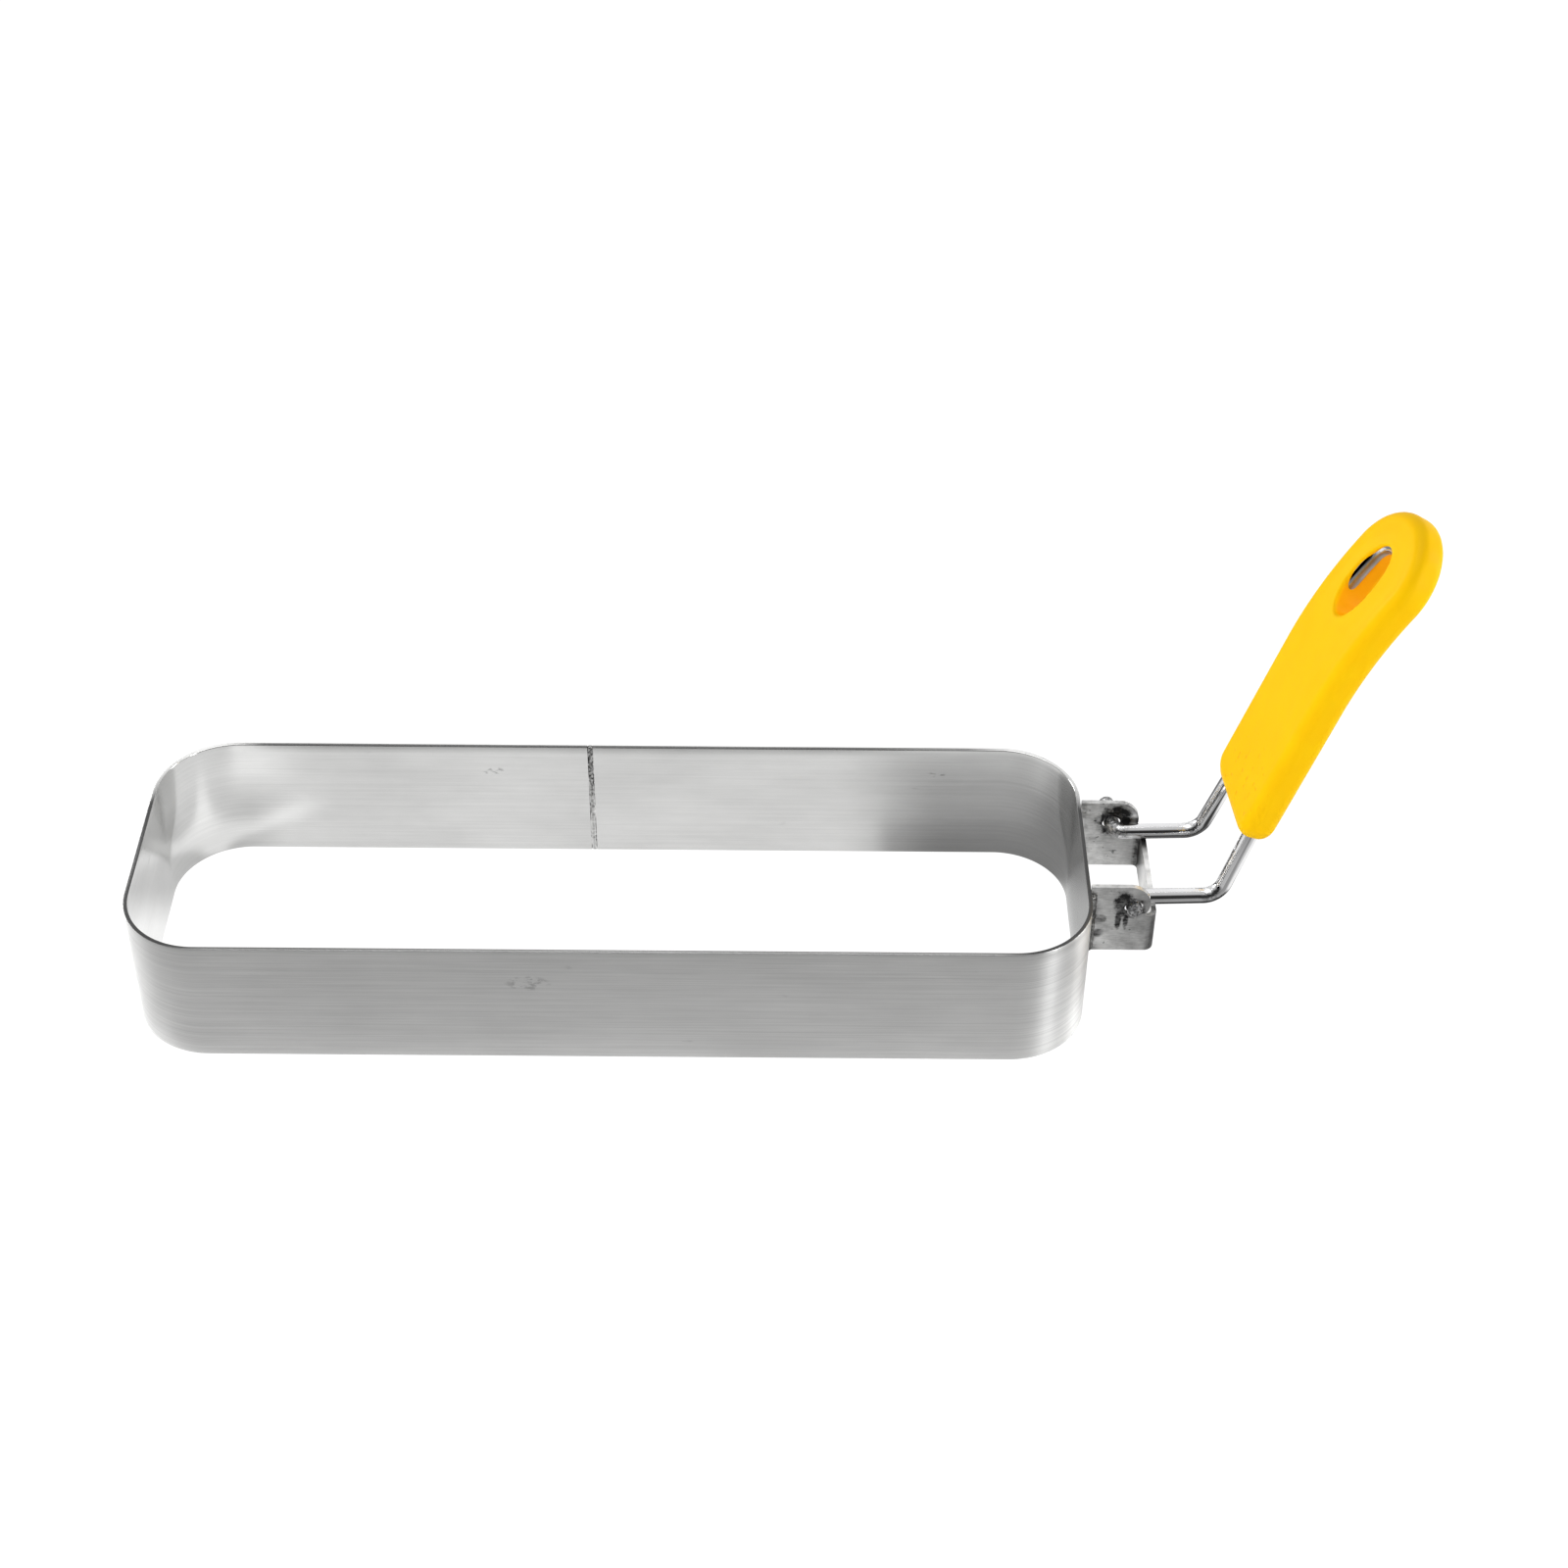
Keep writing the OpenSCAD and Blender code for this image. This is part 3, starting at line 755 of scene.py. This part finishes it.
def wire_chrome():
    """Bright plated wire, with jaw marks where it was bent, a little tarnish, worn cut ends and painted shade on
    the elbows beside the ears.

    The eye is darkened by painted shade where it turns away from the grip's front face.
    """
    made, start = material("wire_chrome")
    place = coordinates(start)
    _, _, z = split(place)
    bend, worn_end_and_shade = tag(start, "bend"), tag(start, "worn_end_and_shade")
    back, out = (bent(np.array([EYE_S]), np.zeros(1), np.array([level]))[0] for level in (0.0, 1.0))
    facing = sum(part * float(way) for part, way in zip(split(coordinates(start, NORMAL)), out - back))
    # Painted shade on the eye where it turns away from the grip's front face
    eye_shade = z.step(0.085, 0.09) * (1 - facing.step(0.2, 0.6))
    jaw = noise(start, place, 1500.0, 3.0, 0.6)
    mark = bend * jaw.step(0.42, 0.66)
    tarnish = noise(start, place, 160.0, 3.0)
    dulling_and_shade = 0.55 * mark + worn_end_and_shade * (0.35 + 0.8 * jaw.step(0.4, 0.6)) + 0.6 * eye_shade
    colour = blend(start, (0.85 + 0.3 * (tarnish - 0.5) - dulling_and_shade).clamp(), 0.2, (0.93, 0.93, 0.94))
    rough = (0.09 + 0.08 * (tarnish - 0.5) + 0.2 * mark + 0.3 * worn_end_and_shade + 0.4 * eye_shade).clamp()
    dented = (jaw * (0.5 * bend + worn_end_and_shade)).bump(0.5, 0.0004)
    principled(start, colour, rough, dented, {"Metallic": 1.0})
    return made


def grip_yellow():
    """Soft-gloss moulded plastic: a fine skin, small pits near the lower end and painted shade in the hole."""
    made, start = material("grip_yellow")
    place = coordinates(start)
    along, front, bore_shade = tag(start, "along"), tag(start, "front"), tag(start, "bore_shade")
    skin = noise(start, place, 1600.0)
    swell = noise(start, place, 90.0)
    blotch = noise(start, place, 150.0, 3.0)
    low_end = 1 - along.step(0.028, 0.046)
    pit = noise(start, place, 620.0, 1.0).step(0.63, 0.74) * low_end * front.step(0.002, 0.0038)
    tone = (0.7 + 0.3 * (blotch - 0.5) - 0.4 * pit - 0.5 * bore_shade).clamp()
    colour = blend(start, tone, (0.96, 0.4, 0.001), (0.99, 0.645, 0.003))
    rough = (0.4 + 0.25 * (blotch - 0.5)).clamp()
    normal = (skin * 0.12 + swell * 0.8 - 0.6 * pit).bump(0.35, 0.0004)
    principled(start, colour, rough, normal, {"IOR": 1.25, "Specular IOR Level": 0.12})
    return made


# Stage

def floor_material():
    """Pale floor: white to the camera but for a little of the shadow, and plain to matt surfaces.

    Only mirrored rays see it toned by place: painted shadows and painted light on it, which the steel mirrors.
    The shadows lie at its right end, before it, behind it, far left and by the handle; a painted pool of light
    lies by its left end and a thrown line of light before the far left corner.
    """
    made, start = material("floor")
    x, y, _ = split(coordinates(start))
    to_camera, to_steel = rays(start)
    ahead = y * -1.0
    inside = y.step(-0.04, -0.036)
    by_handle = 1 - x.step(0.05, 0.062)

    # Painted shadows on the floor, seen only by mirrored rays
    right_depth = 0.05 + 0.42 * y.step(-0.02, 0.012) + 0.12 * y.step(0.012, 0.032)
    ears_depth = 0.77 * ahead.step(-0.012, 0.02) - 0.3 * ahead.step(0.02, 0.035)
    right_end = x.within(-0.06, -0.03, -0.004, 0.002) * inside * right_depth
    right_spot = 0.25 * x.within(-0.05, -0.044, -0.003, 0.001) * y.within(0.018, 0.032, 0.037, 0.039)
    behind = 0.75 * y.step(0.05, 0.09) * (1 - x.step(-0.01, 0.02))
    left_corner = 0.25 * (1 - x.step(-0.214, -0.2)) * y.step(0.012, 0.022)
    front = 0.36 * ahead.step(0.025, 0.05) + 0.4 * ahead.step(0.05, 0.2)
    by_ears = by_handle * x.step(0.004, 0.02) * ears_depth
    by_leg = 0.85 * by_handle * x.step(0.014, 0.022) * ahead.within(-0.06, -0.046, 0.026, 0.038)
    far_left = 0.75 * (1 - x.step(-0.7, -0.28))
    toned = 1 - right_end
    for shade in (right_spot, behind, left_corner, front, by_ears, by_leg, far_left):
        toned = toned * (1 - shade)
    pool = 1 - to_steel * (1 - toned)

    # Painted light on the floor, seen only by mirrored rays: a pool by the left end and a thrown line before the
    # far left corner
    left_light_patch = x.within(-0.232, -0.226, -0.218, -0.2) * inside * (1 - y.step(0.004, 0.016))
    (from_x, from_y), (way_x, way_y) = (-0.219, 0.034), (0.84, -0.542)
    thrown_off = ((y - from_y) * way_x - (x - from_x) * way_y).size()
    thrown_along = (x - from_x) * way_x + (y - from_y) * way_y
    thrown = (1 - thrown_off.step(0.001, 0.004)) * thrown_along.within(-0.002, 0.002, 0.018, 0.036)

    plain_glow, most_glow, paint = 0.69, 1.6, 0.86
    lit = plain_glow + to_steel * (0.25 * left_light_patch + 0.375 * thrown)
    glow = blend(start, pool * lit, 0.0, most_glow)
    matt = start.node("ShaderNodeBsdfDiffuse", None, {"Color": blend(start, pool, 0.0, paint)})
    white = start.node("ShaderNodeEmission", None, {"Color": glow, "Strength": 1.0})
    share = 0.975 * to_camera + 0.8 * to_steel
    surface(start, start.node("ShaderNodeMixShader", None, {0: share, 1: matt, 2: white}))
    return made


def studio():
    """White surroundings for the camera; for light and reflections a bright room above and behind, dark in front.

    Mirrored rays see it brighter behind, with a dark card low on the left.
    """
    world = bpy.data.worlds.new("studio")
    bpy.context.scene.world = world
    world.use_nodes = True
    world.node_tree.nodes.clear()
    start = Val(world.node_tree)
    x, y, z = split(coordinates(start, GENERATED))
    to_camera, to_steel = rays(start)
    front = (y * -1.0).step(0.0, 0.7) * (1 - z.step(0.6, 0.9))
    left_card = (x * -1.0).step(0.75, 0.95) * (1 - z.step(0.15, 0.4))
    level = 0.64 - 0.61 * front + to_steel * (0.36 * y.step(0.0, 0.5) - 0.4 * left_card)
    strength = to_camera + (1 - to_camera) * level
    shader = start.node("ShaderNodeBackground", None, {"Color": (1, 1, 1, 1), "Strength": strength})
    surface(start, shader, "ShaderNodeOutputWorld")


def stand(name, data, place, right, back):
    """A lamp or camera in the scene, from its place in metres and its right and back directions."""
    turn = np.eye(4)
    turn[:3] = np.stack([right, np.cross(back, right), back, place], 1)
    held = bpy.data.objects.new(name, data)
    held.matrix_world = Matrix(turn.tolist())
    bpy.context.scene.collection.objects.link(held)
    return held


def softbox(name, place, target, width, height, watts, mirrored=True, matt=True):
    """A rectangular soft lamp facing a target, in metres; it may serve reflections or matt surfaces alone."""
    lamp = bpy.data.lights.new(name, "AREA")
    lamp.shape = "RECTANGLE"
    lamp.size, lamp.size_y, lamp.energy = width, height, watts
    back = np.array(place, float) - np.array(target, float)
    back /= np.linalg.norm(back)
    right = np.cross([0.0, 0.0, 1.0], back)
    right /= np.linalg.norm(right)
    held = stand(name, lamp, place, right, back)
    held.visible_glossy, held.visible_diffuse = mirrored, matt


def camera():
    """The viewpoint of the photograph, from its place and its right and back directions."""
    right = np.array([1.0, 0.0031, 0.0076])
    back = np.array([-0.0024, -0.7695, 0.6386])
    back /= np.linalg.norm(back)
    right -= back * (right @ back)
    right /= np.linalg.norm(right)
    lens = bpy.data.cameras.new("camera")
    lens.sensor_width, lens.lens = 36.0, 63.95
    bpy.context.scene.camera = stand("camera", lens, np.array([-74.2, -507.6, 474.6]) * MM, right, back)


def floor():
    """A wide flat floor just under the ring's lower edge."""
    half, gap, count = 2500.0, 0.05, 3
    reach = np.linspace(-half, half, count)
    gx, gy = np.meshgrid(reach, reach, indexing="ij")
    grid = np.stack([gx, gy, np.full_like(gx, -gap)], -1)
    sheet = bpy.data.meshes.new("floor")
    quads = grid_quads(count, count, False, False)
    sheet.from_pydata((grid.reshape(-1, 3) * MM).tolist(), [], quads.tolist())
    laid = bpy.data.objects.new("floor", sheet)
    bpy.context.scene.collection.objects.link(laid)
    laid.data.materials.append(floor_material())


# Putting together

def finish_with(piece, made):
    """Gives a piece one material in place of any other."""
    piece.data.materials.clear()
    piece.data.materials.append(made)


def dress(piece, made, body, slot, *nodes):
    """Gives a piece its material and its place in the frame, and hides the solids it stands for."""
    finish_with(piece, made)
    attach(piece, body)
    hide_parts(*nodes)


bpy.context.scene.view_settings.view_transform = "Standard"
camera()
studio()
floor()
softbox("top_box", (-0.2, 0.1, 1.0), (-0.1, 0, 0), 0.8, 0.6, 4, matt=False)
softbox("left_box", (-0.77, 0.5, 0.3), (-0.1, 0, 0.02), 0.25, 0.4, 3.2)
softbox("front_right_strip", (0.54, -0.45, 0.35), (-0.2, 0.03, 0.02), 0.12, 0.45, 2.6, matt=False)
softbox("right_strip", (0.75, 0.06, 0.3), (0, -0.03, 0.02), 0.14, 0.5, 2.4)
softbox("front_fill", (0.25, -0.9, 0.4), (0.04, 0, 0.08), 0.4, 0.4, 2.5, mirrored=False)
softbox("face_fill", (-0.6, -0.5, 0.2), (0.05, 0, 0.08), 0.4, 0.4, 2.6, mirrored=False)
softbox("side_fill", (0.9, -0.3, 0.06), (0.05, 0, 0.08), 0.4, 0.3, 1.8, mirrored=False)

weld = weld_steel()
dress(ring_band(), band_steel(), "ring", "band_steel", "ring_band")
dress(seam_bead(), seam_steel(), "ring", "weld_steel", "seam_weld")
dress(bracket_bead("front_bead", -1), weld, "ring", "weld_steel", "bracket_weld_front")
dress(bracket_bead("rear_bead", 1), weld, "ring", "weld_steel", "bracket_weld_rear")
dress(handle_wire(), wire_chrome(), "handle", "wire_chrome", "handle_wire")
dress(grip(), grip_yellow(), "handle", "grip_yellow", "grip")
finish_with(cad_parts["hinge_bracket"], bracket_steel())
